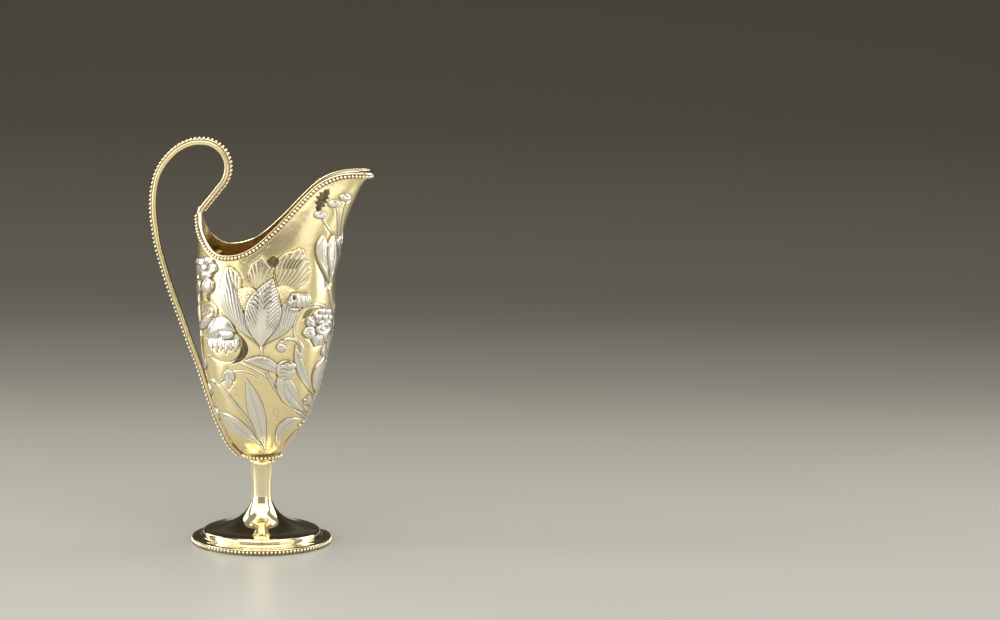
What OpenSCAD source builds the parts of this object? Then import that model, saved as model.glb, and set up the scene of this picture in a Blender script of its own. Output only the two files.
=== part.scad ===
// Helmet cream jug on a stemmed foot, with a high looped strap handle and beaded edges.
// Millimetres, +Z up, +X towards the pouring lip, origin at the middle of the resting ring.
// The bowl, its edge and the handle are lofted from the station lists below; everything under
// the bowl is turned on the Z axis.

/* [Bowl] */
// Length of the bowl from its back to the tip of the lip
bowl_l = 70; // [60:1:90]
// Width of the bowl across its widest place
bowl_w = 50.4; // [40:0.2:64]
// Height of the bowl from its underside to the tip of the lip
bowl_h = 113; // [90:0.2:140]
// Thickness of the sheet
wall = 1.1; // [0.8:0.1:2]

/* [Mouth] */
// Width of the plain wire that caps the mouth
edge_w = 1.7; // [1.4:0.1:2.4]
// Thickness of the plain wire that caps the mouth
edge_t = 0.8; // [0.6:0.1:1.4]
// Diameter of the beaded wire round the mouth and the collar
bead_d = 1.3; // [1:0.1:2]

/* [Handle] */
// Width of the strap at its top, side to side
strap_w = 6; // [4:0.2:9]
// Thickness of the strap near its top
strap_t = 2; // [1.6:0.1:2.8]
// Diameter of the beaded wires on the strap
strap_bead_d = 1; // [0.8:0.1:1.6]
// How much the loop is drawn out behind the bowl
loop_reach = 1; // [0.9:0.02:1.2]

/* [Stem and foot] */
// Diameter of the stem at its waist
stem_d = 7.8; // [6:0.2:12]
// Diameter of the collar under the bowl
collar_d = 14.9; // [12:0.2:20]
// Diameter of the foot over its beads
foot_d = 56.4; // [44:0.4:70]
// Thickness of the foot dome
foot_wall = 1.2; // [0.9:0.1:2]
// Diameter of the beads round the foot
foot_bead_d = 1.5; // [1:0.1:2.4]

/* [Hidden] */
bowl_z = 36.4;
kx = bowl_l / 70;
ky = bowl_w / 50.4;
kz = bowl_h / 113;
$fn = 96;

// bowl stations: height, reach to the front, reach to the back, half width
ST = [
    [36.4, 7.2, 8.0, 7.4], [38.2, 9.3, 10.0, 9.4], [40.8, 11.5, 12.1, 11.5],
    [44.0, 13.8, 14.1, 13.6], [47.6, 16.1, 15.9, 15.5], [53.6, 19.2, 18.2, 18.0],
    [60.0, 21.6, 20.1, 20.1], [68.0, 23.8, 22.2, 22.1], [78.0, 26.2, 24.0, 23.8],
    [90.0, 28.0, 24.9, 24.8], [102.0, 28.9, 25.5, 25.2], [112.0, 29.4, 25.9, 25.0],
    [120.0, 30.4, 26.0, 24.4], [128.0, 32.2, 25.8, 23.2], [136.0, 35.1, 25.3, 20.8],
    [142.0, 37.7, 25.0, 18.2], [146.0, 39.9, 24.8, 16.0], [149.4, 43.7, 24.7, 14.2],
    [151.5, 47.2, 24.7, 13.2]
];
// height of the mouth by the angle round the bowl, 0 at the lip and 180 at the handle
RIM = [
    [0, 149.2], [15, 149.5], [28, 149.8], [40, 149.9], [48, 149.2], [55, 147.0],
    [61, 143.6], [67.5, 139.0], [74, 134.4], [81, 130.0], [91, 124.9], [101, 121.1],
    [111, 119.0], [121, 118.2], [131, 118.4], [140, 120.0], [149, 122.8], [155, 125.0],
    [161, 127.3], [167, 130.0], [173, 132.8], [177, 134.0], [180, 134.3]
];
// centre line of the handle: reach, height
HL = [
    [-24.9, 132.6], [-24.2, 134.4], [-22.1, 137.2], [-20.0, 139.8], [-17.9, 142.6],
    [-15.9, 145.1], [-14.6, 148.0], [-14.2, 150.8], [-14.6, 153.8], [-16.2, 157.0],
    [-18.6, 159.2], [-21.3, 160.5], [-24.5, 160.9], [-28.2, 160.5], [-32.0, 158.9],
    [-35.1, 156.7], [-37.9, 153.8], [-40.3, 150.4], [-41.9, 146.6], [-42.9, 142.0],
    [-43.3, 137.4], [-43.3, 133.2], [-42.9, 129.0], [-42.3, 124.8], [-41.5, 120.0],
    [-40.2, 114.9], [-37.2, 105.0], [-33.0, 93.0], [-28.6, 80.8], [-26.1, 74.5],
    [-23.9, 68.2], [-21.9, 61.9], [-20.0, 56.1], [-17.7, 49.8], [-15.3, 44.5],
    [-12.6, 39.6], [-9.4, 36.2]
];

// cubic through a list of rows, read at x
function seg(T, x, i = 0) = i >= len(T) - 2 || x < T[i + 1][0] ? i : seg(T, x, i + 1);
function slope(T, i, k) = i == 0 || i == len(T) - 1 ?
    (i == 0 ? (T[1][k] - T[0][k]) / (T[1][0] - T[0][0])
            : (T[i][k] - T[i - 1][k]) / (T[i][0] - T[i - 1][0])) :
    (T[i + 1][k] - T[i - 1][k]) / (T[i + 1][0] - T[i - 1][0]);
function cub(T, k, x) =
    let (i = seg(T, x), d = T[i + 1][0] - T[i][0], t = (x - T[i][0]) / d,
         a = T[i][k], b = T[i + 1][k], ma = slope(T, i, k) * d, mb = slope(T, i + 1, k) * d)
    (2 * t * t * t - 3 * t * t + 1) * a + (t * t * t - 2 * t * t + t) * ma +
    (3 * t * t - 2 * t * t * t) * b + (t * t * t - t * t) * mb;
// points along a list of knots, n steps to each span
function pick(L, i) = L[min(max(i, 0), len(L) - 1)];
function cat(L, n) = [for (i = [0 : len(L) - 2]) for (j = [0 : n - (i == len(L) - 2 ? 0 : 1)])
    let (t = j / n, a = pick(L, i - 1), b = L[i], c = L[i + 1], d = pick(L, i + 2))
    0.5 * (2 * b + (c - a) * t + (2 * a - 5 * b + 4 * c - d) * t * t +
           (3 * b - a - 3 * c + d) * t * t * t)];

// the bowl's surface at angle u and station height z, drawn in by g
function surf(u, z, g = 0) =
    let (f = cub(ST, 1, z), b = cub(ST, 2, z), w = cub(ST, 3, z), m = 0.4 * min(f - b, 5),
         a = cos(u) > 0 ? f - m - g : b + m - g)
    [(m + a * cos(u)) * kx, (w - g) * sin(u) * ky, bowl_z + (z - bowl_z) * kz];
function fold(u) = let (v = u % 360) v > 180 ? 360 - v : v;
function rim_z(u) = cub(RIM, 1, fold(u));
function rim_p(u) = surf(u, rim_z(u));
function unit(v) = v / norm(v);
// frame on the mouth: point, along, out, up
function rim_fr(u) =
    let (p = rim_p(u), t = unit(rim_p(u + 0.6) - rim_p(u + 359.4)),
         q = surf(u, rim_z(u) - 1.5), n = unit(cross(t, p - q)), s = unit(cross(n, t)))
    [p, t, n, s];

// closed strip of rings: R rings of n points, first and last capped, or joined round
module rings(R, n, loop = false) {
    m = len(R);
    polyhedron(
        points = [for (r = R) for (p = r) p],
        faces = concat(
            [for (i = [0 : m - (loop ? 1 : 2)]) for (j = [0 : n - 1])
                let (a = i * n + j, b = i * n + (j + 1) % n,
                     c = ((i + 1) % m) * n + (j + 1) % n, d = ((i + 1) % m) * n + j)
                each [[a, b, c], [a, c, d]]],
            loop ? [] : [[for (j = [n - 1 : -1 : 0]) j], [for (j = [0 : n - 1]) (m - 1) * n + j]]
        ),
        convexity = 8
    );
}

N = 72;   // columns round the bowl
M = 34;   // rows up the bowl
function col(i) = i * 360 / N;
function ease(t) = 0.55 * t + 0.45 * t * t;
bot_in = bowl_z + 1.4;

module bowl() color("#cdb776") {
    outer = [for (j = [0 : M]) [for (i = [0 : N - 1])
        surf(col(i), bowl_z + (rim_z(col(i)) - bowl_z) * ease(j / M))]];
    inner = [for (j = [M : -1 : 0]) [for (i = [0 : N - 1])
        surf(col(i), bot_in + (rim_z(col(i)) - bot_in) * ease(j / M), wall)]];
    rings(concat(outer, inner), N);
}

// a ring of points in the mouth's frame: out and up
function mouth_ring(u, S, o, h) =
    let (f = rim_fr(u)) [for (s = S) f[0] + f[2] * (s[0] + o) + f[3] * (s[1] + h)];
function oval(w, t, n) = [for (k = [0 : n - 1]) [w / 2 * cos(k * 360 / n), t / 2 * sin(k * 360 / n)]];
L = 120;   // steps round the mouth
UE = 173;  // the mouth wires stop here, each side of the handle

module mouth_wire(S, o, h)
    rings([for (i = [0 : L]) mouth_ring(360 - UE + i * 2 * UE / L, S, o, h)], len(S));
module rim_edge_band() color("#d8c486")
    mouth_wire(oval(edge_w, edge_t, 8), -wall / 2 + 0.15, 0.1);
module rim_bead_wire() color("#e2d3a0")
    mouth_wire(oval(bead_d, bead_d, 8), bead_d / 2 - 0.2, -0.35 - bead_d / 2);

// the handle
HP = cat([for (p = HL) [(p[0] + 24.9) * (p[0] < -24.9 ? loop_reach : 1) - 24.9, p[1]]], 2);
function h_tan(i) = unit(HP[min(i + 1, len(HP) - 1)] - HP[max(i - 1, 0)]);
// the strap gets narrower and thinner from the mouth down to the collar
function k_w(i) = 1 - 0.35 * i / (len(HP) - 1);
function k_t(i) = 1.05 - 0.4 * i / (len(HP) - 1);
// ring across the handle: side to side along Y, and out from its convex face
function strap_ring(i, S, y, o) =
    let (t = h_tan(i), n = [t[1], -t[0]])
    [for (s = S) [HP[i][0] + n[0] * (s[1] + o), y + s[0], HP[i][1] + n[1] * (s[1] + o)]];
bevel = 0.35;
strap_sec = [
    [-strap_w / 2, -strap_t / 2 + bevel], [-strap_w / 2 + bevel, -strap_t / 2],
    [strap_w / 2 - bevel, -strap_t / 2], [strap_w / 2, -strap_t / 2 + bevel],
    [strap_w / 2, strap_t / 2 - bevel], [strap_w / 2 - bevel, strap_t / 2],
    [-strap_w / 2 + bevel, strap_t / 2], [-strap_w / 2, strap_t / 2 - bevel]
];
module handle_strap() color("#cbb36c")
    rings([for (i = [0 : len(HP) - 1])
        strap_ring(i, [for (s = strap_sec) [s[0] * k_w(i), s[1] * k_t(i)]], 0, 0)], 8);
module handle_beads(side) color("#e2d3a0")
    rings([for (i = [1 : len(HP) - 2]) strap_ring(i, oval(strap_bead_d, strap_bead_d, 8),
        side * (strap_w / 2 * k_w(i) - strap_bead_d / 2), strap_t / 2 * k_t(i) + 0.15)], 8);
module handle_bead_wire_left() handle_beads(-1);
module handle_bead_wire_right() handle_beads(1);

// tab behind the tongue of the mouth, and pad at the foot of the handle
module handle_upper_plate() color("#cbb36c")
    translate([-25.3, 0, 131.4]) rotate([0, 8, 0])
        rotate([90, 0, 0]) linear_extrude(height = 5.6, center = true)
            polygon([[-0.8, -4.0], [0.3, -4.4], [0.6, 1.0], [0.8, 3.0], [0.2, 4.0], [-0.7, 3.2], [-1.0, 0]]);
module handle_lower_pad() color("#cbb36c")
    translate([-12.9, 0, 41.2]) rotate([0, 55, 0])
        cylinder(d1 = 3.4, d2 = 3.6, h = 1.8, center = true, $fn = 48);

// turned parts: profile lists of reach and height
collar_z = 35.2;
neck = cat([[4.35, 0], [3.9, 3.9], [4.05, 7.5], [4.45, 11.6], [5.0, 14.2], [5.8, 15.6]], 4);
stem_lo = 16.2;
module stem() color("#e0c98c")
    rotate_extrude() polygon(concat([[0, stem_lo]],
        [for (p = neck) [p[0] * stem_d / 7.8, p[1] + stem_lo]],
        [[5.8, 32.4], [5.7, 32.9], [6.4, 33.7], [collar_d / 2 - 0.6, 34.1],
         [collar_d / 2 - 0.6, 35.3], [0, 35.3]]));
module stem_moulding_ring() color("#e0c98c")
    translate([0, 0, 32.1]) rotate_extrude() translate([5.75, 0]) circle(d = 0.9, $fn = 24);
module bowl_boss() color("#cdb776")
    translate([0, 0, 35.3]) cylinder(r1 = collar_d / 2 - 0.9, r2 = collar_d / 2 - 0.6, h = 1.6);
module collar_bead_wire() color("#e2d3a0")
    translate([0, 0, collar_z]) rotate_extrude() translate([collar_d / 2, 0]) circle(d = bead_d, $fn = 24);
module knop_ring() color("#e0c98c")
    translate([0, 0, 15.8]) rotate_extrude() translate([4.3, 0]) circle(d = 1.0, $fn = 24);

kf = foot_d / 56.4;
dome = cat([[23.4, 3.3], [23.55, 4.2], [22.9, 5.2], [20.6, 5.95], [17.0, 6.6], [13.2, 7.7],
            [10.0, 9.3], [7.5, 11.3], [5.8, 13.5], [4.9, 15.6]], 4);
function h_nrm(P, i) = let (t = unit(P[min(i + 1, len(P) - 1)] - P[max(i - 1, 0)])) [t[1], -t[0]];
module foot_dome() color("#dcc58a")
    rotate_extrude() polygon(concat(
        [[23.4 * kf, 2.4]], [for (p = dome) [p[0] * kf, p[1]]],
        [[4.9 * kf, 16.2], [3.0, 16.2]],
        [for (i = [len(dome) - 1 : -1 : 0])
            [max(dome[i][0] * kf - foot_wall * h_nrm(dome, i)[0], 3.0),
             dome[i][1] - foot_wall * h_nrm(dome, i)[1]]],
        [[22.2 * kf, 2.4]]));
module foot_plate() color("#dcc58a")
    rotate_extrude() polygon([
        [21.6 * kf, 1.1], [27.3 * kf, 1.1], [27.5 * kf, 1.5], [27.4 * kf, 2.0], [26.6 * kf, 2.4],
        [24.4 * kf, 2.75], [23.9 * kf, 3.3], [23.3 * kf, 3.5], [22.3 * kf, 3.4], [22.1 * kf, 2.4],
        [21.6 * kf, 2.2]]);
module foot_bead_wire() color("#e2d3a0")
    translate([0, 0, 1.15]) rotate_extrude()
        translate([foot_d / 2 - foot_bead_d / 2, 0]) circle(d = foot_bead_d, $fn = 24);
module foot_base_ring() color("#cbb36c")
    rotate_extrude() polygon([
        [24.4 * kf, 0.15], [24.6 * kf, 0], [26.9 * kf, 0], [27.1 * kf, 0.15], [27.1 * kf, 0.55],
        [26.3 * kf, 1.1], [24.4 * kf, 1.1]]);

bowl();
rim_edge_band();
rim_bead_wire();
handle_strap();
handle_bead_wire_left();
handle_bead_wire_right();
handle_upper_plate();
handle_lower_pad();
bowl_boss();
collar_bead_wire();
stem();
stem_moulding_ring();
knop_ring();
foot_dome();
foot_plate();
foot_bead_wire();
foot_base_ring();
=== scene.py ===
import math
import bpy
import numpy as np
from mathutils import Vector, Matrix


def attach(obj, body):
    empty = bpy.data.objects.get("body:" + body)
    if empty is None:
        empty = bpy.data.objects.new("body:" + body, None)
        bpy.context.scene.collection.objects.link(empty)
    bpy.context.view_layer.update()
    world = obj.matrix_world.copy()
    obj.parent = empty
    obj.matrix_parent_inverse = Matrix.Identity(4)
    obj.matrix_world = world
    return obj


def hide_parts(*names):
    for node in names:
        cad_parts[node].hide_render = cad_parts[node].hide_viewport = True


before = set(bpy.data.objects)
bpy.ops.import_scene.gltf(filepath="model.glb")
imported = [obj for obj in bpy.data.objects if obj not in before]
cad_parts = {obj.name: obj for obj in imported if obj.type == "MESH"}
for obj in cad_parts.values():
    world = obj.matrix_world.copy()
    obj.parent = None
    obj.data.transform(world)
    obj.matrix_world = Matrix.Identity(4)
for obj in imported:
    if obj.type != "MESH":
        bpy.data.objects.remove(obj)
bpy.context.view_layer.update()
MM = 0.001

# ---------------------------------------------------------------- the jug's form, in millimetres
BZ = 36.4
ST = np.array([
    [36.4, 7.2, 8.0, 7.4], [38.2, 9.3, 10.0, 9.4], [40.8, 11.5, 12.1, 11.5],
    [44.0, 13.8, 14.1, 13.6], [47.6, 16.1, 15.9, 15.5], [53.6, 19.2, 18.2, 18.0],
    [60.0, 21.6, 20.1, 20.1], [68.0, 23.8, 22.2, 22.1], [78.0, 26.2, 24.0, 23.8],
    [90.0, 28.0, 24.9, 24.8], [102.0, 28.9, 25.5, 25.2], [112.0, 29.4, 25.9, 25.0],
    [120.0, 30.4, 26.0, 24.4], [128.0, 32.2, 25.8, 23.2], [136.0, 35.1, 25.3, 20.8],
    [142.0, 37.7, 25.0, 18.2], [146.0, 39.9, 24.8, 16.0], [149.4, 43.7, 24.7, 14.2],
    [151.5, 47.2, 24.7, 13.2]])
RIM = np.array([
    [0, 149.2], [15, 149.5], [28, 149.8], [40, 149.9], [48, 149.2], [55, 147.0],
    [61, 143.6], [67.5, 139.0], [74, 134.4], [81, 130.0], [91, 124.9], [101, 121.1],
    [111, 119.0], [121, 118.2], [131, 118.4], [140, 120.0], [149, 122.8], [155, 125.0],
    [161, 127.3], [167, 130.0], [173, 132.8], [177, 134.0], [180, 134.3]])
HL = [
    [-24.9, 132.6], [-24.2, 134.4], [-22.1, 137.2], [-20.0, 139.8], [-17.9, 142.6],
    [-15.9, 145.1], [-14.6, 148.0], [-14.2, 150.8], [-14.6, 153.8], [-16.2, 157.0],
    [-18.6, 159.2], [-21.3, 160.5], [-24.5, 160.9], [-28.2, 160.5], [-32.0, 158.9],
    [-35.1, 156.7], [-37.9, 153.8], [-40.3, 150.4], [-41.9, 146.6], [-42.9, 142.0],
    [-43.3, 137.4], [-43.3, 133.2], [-42.9, 129.0], [-42.3, 124.8], [-41.5, 120.0],
    [-40.2, 114.9], [-37.2, 105.0], [-33.0, 93.0], [-28.6, 80.8], [-26.1, 74.5],
    [-23.9, 68.2], [-21.9, 61.9], [-20.0, 56.1], [-17.7, 49.8], [-15.3, 44.5],
    [-12.6, 39.6], [-9.4, 36.2]]
WALL, EDGE_W, EDGE_T, BEAD, STRAP_W, STRAP_T = 1.1, 1.7, 0.8, 1.3, 6.0, 2.0


def cub(T, k, x):
    """Cubic through the rows of T, read at x."""
    X, Y = T[:, 0], T[:, k]
    m = np.empty(len(X))
    m[0], m[-1] = (Y[1] - Y[0]) / (X[1] - X[0]), (Y[-1] - Y[-2]) / (X[-1] - X[-2])
    m[1:-1] = (Y[2:] - Y[:-2]) / (X[2:] - X[:-2])
    x = np.asarray(x, float)
    i = np.clip(np.searchsorted(X, x, side="right") - 1, 0, len(X) - 2)
    d = X[i + 1] - X[i]
    t = (x - X[i]) / d
    return ((2 * t**3 - 3 * t**2 + 1) * Y[i] + (t**3 - 2 * t**2 + t) * m[i] * d
            + (3 * t**2 - 2 * t**3) * Y[i + 1] + (t**3 - t**2) * m[i + 1] * d)


def cat(L, n):
    """Catmull-Rom curve through the points of L, n steps to a span."""
    L = np.asarray(L, float)
    P = np.vstack([L[:1], L, L[-1:]])
    out = []
    t = (np.arange(n) / n)[:, None]
    for i in range(1, len(P) - 2):
        a, b, c, d = P[i - 1], P[i], P[i + 1], P[i + 2]
        out.append(0.5 * (2 * b + (c - a) * t + (2 * a - 5 * b + 4 * c - d) * t**2
                          + (3 * b - a - 3 * c + d) * t**3))
    out.append(L[-1:])
    return np.vstack(out)


def surf(u, z, g=0.0):
    """The bowl's surface at angle u (degrees) and height z, drawn in by g."""
    u, z = np.broadcast_arrays(np.asarray(u, float), np.asarray(z, float))
    f, b, w = cub(ST, 1, z), cub(ST, 2, z), cub(ST, 3, z)
    m = 0.4 * np.minimum(f - b, 5)
    c, s = np.cos(np.radians(u)), np.sin(np.radians(u))
    a = np.where(c > 0, f - m, b + m) - g
    return np.stack([m + a * c, (w - g) * s, z], -1)


def fold(u):
    v = np.mod(u, 360)
    return np.where(v > 180, 360 - v, v)


def rim_z(u):
    return cub(RIM, 1, fold(u))


def unit(v):
    return v / np.maximum(np.linalg.norm(v, axis=-1, keepdims=True), 1e-12)


def rim_frame(u):
    """Point on the mouth at u, and the directions along, out and up there."""
    p = surf(u, rim_z(u))
    t = unit(surf(u + 0.6, rim_z(u + 0.6)) - surf(u - 0.6, rim_z(u - 0.6)))
    n = unit(np.cross(t, p - surf(u, rim_z(u) - 1.5)))
    return p, t, n, unit(np.cross(n, t))


# ---------------------------------------------------------------- chased ornament
# It is drawn on the plane through the jug's middle as one looks at its side, in millimetres, and carried
# from there on to the bowl. s is the place from side to side as seen there, let out where the side
# turns away,
# and z is the height.
EYE = (94.6, 1258.0, 286.0)
TZ = np.linspace(BZ, 152, 140)
TU = np.linspace(0, 180, 361)
_P = surf(TU[None, :], TZ[:, None])
_D = np.diff(_P[..., :2], axis=1)
_L = np.concatenate([np.zeros((len(TZ), 1)),
                     np.cumsum(np.maximum(np.abs(_D[..., 0]), 0.5 * np.linalg.norm(_D, axis=-1)), axis=1)], 1)
TS = _L[:, 180:181] - _L


def s_of(u, z):
    zi = np.clip((np.asarray(z, float) - TZ[0]) / (TZ[1] - TZ[0]), 0, len(TZ) - 1.001)
    ui = np.clip(np.asarray(u, float) / 0.5, 0, 359.999)
    a, b = zi.astype(int), ui.astype(int)
    p, q = zi - a, ui - b
    return ((TS[a, b] * (1 - q) + TS[a, b + 1] * q) * (1 - p)
            + (TS[a + 1, b] * (1 - q) + TS[a + 1, b + 1] * q) * p)


def on(pts):
    """Points drawn in the side view, carried on to the bowl as (s, z)."""
    P = np.asarray(pts, float)
    X, Z = P[:, 0], P[:, 1] * 1.0125
    x, z = X.copy(), Z.copy()
    for _ in range(14):
        zc = np.clip(z, BZ, 151)
        f, b = cub(ST, 1, zc), cub(ST, 2, zc)
        m = 0.4 * np.minimum(f - b, 5)
        c = np.clip(np.where(x > m, (x - m) / (f - m), (x - m) / (b + m)), -0.998, 0.998)
        u = np.degrees(np.arccos(c))
        y = cub(ST, 3, zc) * np.sin(np.radians(u))
        t = EYE[1] / (EYE[1] - y)
        x = EYE[0] + (X - EYE[0]) / t
        z = EYE[2] + (Z - EYE[2]) / t
    return np.stack([s_of(u, np.clip(z, BZ, 151)), z], -1)


def at(pts):
    """Points given as (angle round the bowl, height), as (s, z)."""
    P = np.asarray(pts, float)
    return np.stack([s_of(P[:, 0], P[:, 1]), P[:, 1]], -1)


def sstep(x):
    x = np.clip(x, 0, 1)
    return x * x * (3 - 2 * x)


def hash2(a, b):
    v = np.sin(a * 127.1 + b * 311.7) * 43758.5453
    return v - np.floor(v)


def vnoise(x, y):
    i, j = np.floor(x), np.floor(y)
    p, q = sstep(x - i), sstep(y - j)
    return ((hash2(i, j) * (1 - p) + hash2(i + 1, j) * p) * (1 - q)
            + (hash2(i, j + 1) * (1 - p) + hash2(i + 1, j + 1) * p) * q)


def curve(P, n=6, closed=False):
    P = np.asarray(P, float)
    if closed:
        Q = np.vstack([P[-2:], P, P[:2]])
        return cat(Q, n)[2 * n:(2 + len(P)) * n]
    return cat(P, n)


class Chasing:
    """Height, silver, dark and stipple over the near half of the bowl; the dark is partly tarnish in the
    grooves, partly painted shade along outlines and in recesses.
    """

    def __init__(self, S, Z):
        self.S, self.Z = S, Z
        self.H, self.A, self.D, self.T = (np.zeros(S.shape) for _ in range(4))

    def near(self, P, pad):
        lo, hi = P.min(0) - pad, P.max(0) + pad
        return np.nonzero((self.S > lo[0]) & (self.S < hi[0]) & (self.Z > lo[1]) & (self.Z < hi[1]))

    def paint(self, I, sd, h, silver=1.0, dark=0.7, soft=0.2, stip=0.0, tuck=0.0, groove=0.08):
        m = sstep(sd / soft + 0.35)
        H = self.H[I]
        if tuck:
            H = H - tuck * np.exp(-np.maximum(-sd, 0) / 0.7) * (sd < 0)
        H = H - groove * np.exp(-((sd + 0.2) / 0.2) ** 2)
        self.H[I] = H * (1 - m) + h * m
        self.A[I] = self.A[I] * (1 - m) + silver * m
        # dark ring just outside each motif's edge: partly tarnish in the groove, partly painted shade where
        # the motif meets the ground
        ring = dark * np.exp(-((sd + 0.1) / 0.14) ** 2)
        self.D[I] = np.maximum(self.D[I] * (1 - m), ring)
        self.T[I] = self.T[I] * (1 - m) + stip * m

    def spine(self, C, pad):
        """Nearest point of curve C: index, distance across (signed), place along 0..1, distance along."""
        I = self.near(C, pad)
        P = np.stack([self.S[I], self.Z[I]], -1)
        a, e = C[:-1], np.diff(C, axis=0)
        L = np.maximum(np.linalg.norm(e, axis=1), 1e-9)
        best = np.full(len(P), 1e9)
        d, t = np.zeros(len(P)), np.zeros(len(P))
        acc = np.r_[0, np.cumsum(L)]
        for k in range(len(a)):
            w = P - a[k]
            r = (w @ e[k]) / L[k]
            rc = np.clip(r, 0, L[k])
            q = w - rc[:, None] * e[k] / L[k]
            dist = np.hypot(q[:, 0], q[:, 1])
            cr = (e[k, 0] * w[:, 1] - e[k, 1] * w[:, 0]) / L[k]
            g = dist < best
            best[g] = dist[g]
            d[g] = np.where(cr[g] < 0, -dist[g], dist[g])
            t[g] = acc[k] + rc[g]
        return I, d, t / acc[-1], acc[-1]

    def rod(self, C, r, h, silver=0.9, dark=0.6, lift=0.0, taper=0.0):
        I, d, t, _ = self.spine(curve(C), r + 1.2)
        rr = r * (1 - taper * t)
        sd = rr - np.abs(d)
        hh = lift + h * np.sqrt(np.clip(1 - (d / rr) ** 2, 0, 1)) + 0.08
        self.paint(I, sd, hh, silver, dark, 0.18)

    def leaf(self, C, W, h, silver=1.0, dark=0.8, lift=0.2, rib=0.3, veins=0, amp=0.12, slant=0.8,
             cup=0.0, wav=0.0,
             wn=7, stip=0.0, tuck=0.15):
        """Leaf on spine C with half widths W from foot to tip."""
        Cc = curve(C)
        I, d, t, L = self.spine(Cc, max(W) + 1.5)
        w = cub(np.stack([np.linspace(0, 1, len(W)), W], -1), 1, t)
        w = np.maximum(w * (1 + wav * np.abs(np.sin(np.pi * wn * t + (d > 0) * 0.9))), 0.02)
        q = np.clip(np.abs(d) / w, 0, 1.5)
        sd = w - np.abs(d)
        body = (lift + h * (1 - q**2) * np.sin(np.pi * np.clip(0.1 + 0.85 * t, 0, 1)) ** 0.5
                - cup * h * np.exp(-(q / 0.35) ** 2))
        body -= rib * np.exp(-(d / 0.28) ** 2) * (1 - t) ** 0.3
        g = 0
        if veins:
            g = (self.lines((t * L - slant * np.abs(d)) * veins / L, L / veins / math.hypot(1, slant))
                 * sstep(q / 0.25) * sstep((1.0 - q) / 0.2))
            body -= amp * g
        self.paint(I, sd, body, silver, dark, 0.2, stip, tuck)
        self.D[I] = np.maximum(self.D[I], 0.4 * g * sstep(sd / 0.2))

    def lines(self, f, pitch, w=0.15):
        """Fine engraved lines where f passes a whole number and a half."""
        return np.exp(-(np.abs(f - np.floor(f) - 0.5) * pitch / w) ** 2)

    def feather(self, C, W, pitch, amp, slant, t0=0.2, dark=0.6):
        """Lines that sweep up and out from the spine of a petal."""
        I, d, t, L = self.spine(curve(C), max(W))
        w = cub(np.stack([np.linspace(0, 1, len(W)), W], -1), 1, t)
        q = np.abs(d) / np.maximum(w, 0.05)
        f = ((t * L - slant * np.abs(d) + 0.5 * vnoise(t * L * 0.4, d * 0.4 + 9))
             / (pitch * math.hypot(1, slant)))
        m = sstep((t - t0) / 0.25) * sstep((q - 0.12) / 0.3) * sstep((0.97 - q) / 0.12)
        g = self.lines(f, pitch) * m
        self.H[I] += (0.1 * np.cos(2 * np.pi * f) - amp * self.lines(f, pitch)) * m
        self.D[I] = np.maximum(self.D[I], dark * g)

    def tube(self, a, b, ra, rb, h, lift):
        """Rolled edge lying from a to b."""
        I = self.near(np.array([a, b]), ra + 1)
        P = np.stack([self.S[I], self.Z[I]], -1)
        e = (b - a) / np.linalg.norm(b - a)
        n = np.array([-e[1], e[0]])
        L = np.linalg.norm(b - a)
        x, y = (P - a) @ e, (P - a) @ n
        r = ra + (rb - ra) * np.clip(x / L, 0, 1)
        cap = np.clip(1 - (np.clip(-x, 0, None) / (0.35 * ra)) ** 2
                      - (np.clip(x - L, 0, None) / (0.18 * ra)) ** 2, 0, 1) ** 0.5
        sd = np.minimum(r * cap - np.abs(y), np.minimum(x + 0.35 * ra, L + 0.18 * ra - x))
        self.paint(I, sd, lift + h * np.sqrt(np.clip(1 - (y / (r + 0.02)) ** 2, 0, 1)), 1.0, 0.8, 0.2, 0, 0.4)

    def spot(self, X, Z, rx, rz, h, rot=0.0, **k):
        """Ball whose place and sizes are those of the side view."""
        q = on([(X - 0.2, Z), (X + 0.2, Z), (X, Z)])
        self.ball(q[2], rx * np.clip(abs(q[1, 0] - q[0, 0]) / 0.4, 0.9, 2.5), rz, h, rot, **k)

    def pitspot(self, X, Z, rx, rz, depth, dark=0.8):
        q = on([(X - 0.2, Z), (X + 0.2, Z), (X, Z)])
        self.hollow(q[2], rx * np.clip(abs(q[1, 0] - q[0, 0]) / 0.4, 0.9, 2.5), rz, depth, 0, dark)

    def inside(self, V, pad=1.0, smooth=4):
        """Points near outline V and how far inside it they are."""
        a = curve(V, smooth, True)
        b = np.roll(a, -1, 0)
        I = self.near(a, pad)
        P = np.stack([self.S[I], self.Z[I]], -1)
        best, ins = np.full(len(P), 1e9), np.zeros(len(P), bool)
        for k in range(len(a)):
            e, w = b[k] - a[k], P - a[k]
            r = np.clip((w @ e) / max(e @ e, 1e-12), 0, 1)
            q = w - r[:, None] * e
            best = np.minimum(best, (q * q).sum(1))
            m = (a[k, 1] > P[:, 1]) != (b[k, 1] > P[:, 1])
            if m.any():
                ins ^= m & (P[:, 0] < e[0] * (P[:, 1] - a[k, 1]) / (e[1] + 1e-12) + a[k, 0])
        return I, P, np.sqrt(best) * np.where(ins, 1, -1)

    def pit(self, V, depth, dark, smooth=4):
        """Dark sunk patch: painted shade in a hollow, also used for a painted dark reflection."""
        I, P, sd = self.inside(V, 1.0, smooth)
        m = sstep(sd / 0.35 + 0.4)
        self.H[I] -= depth * m
        self.D[I] = np.maximum(self.D[I], np.minimum(
            dark * m * (0.75 + 0.25 * vnoise(P[:, 0] * 2.2, P[:, 1] * 2.2)), 1))

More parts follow.
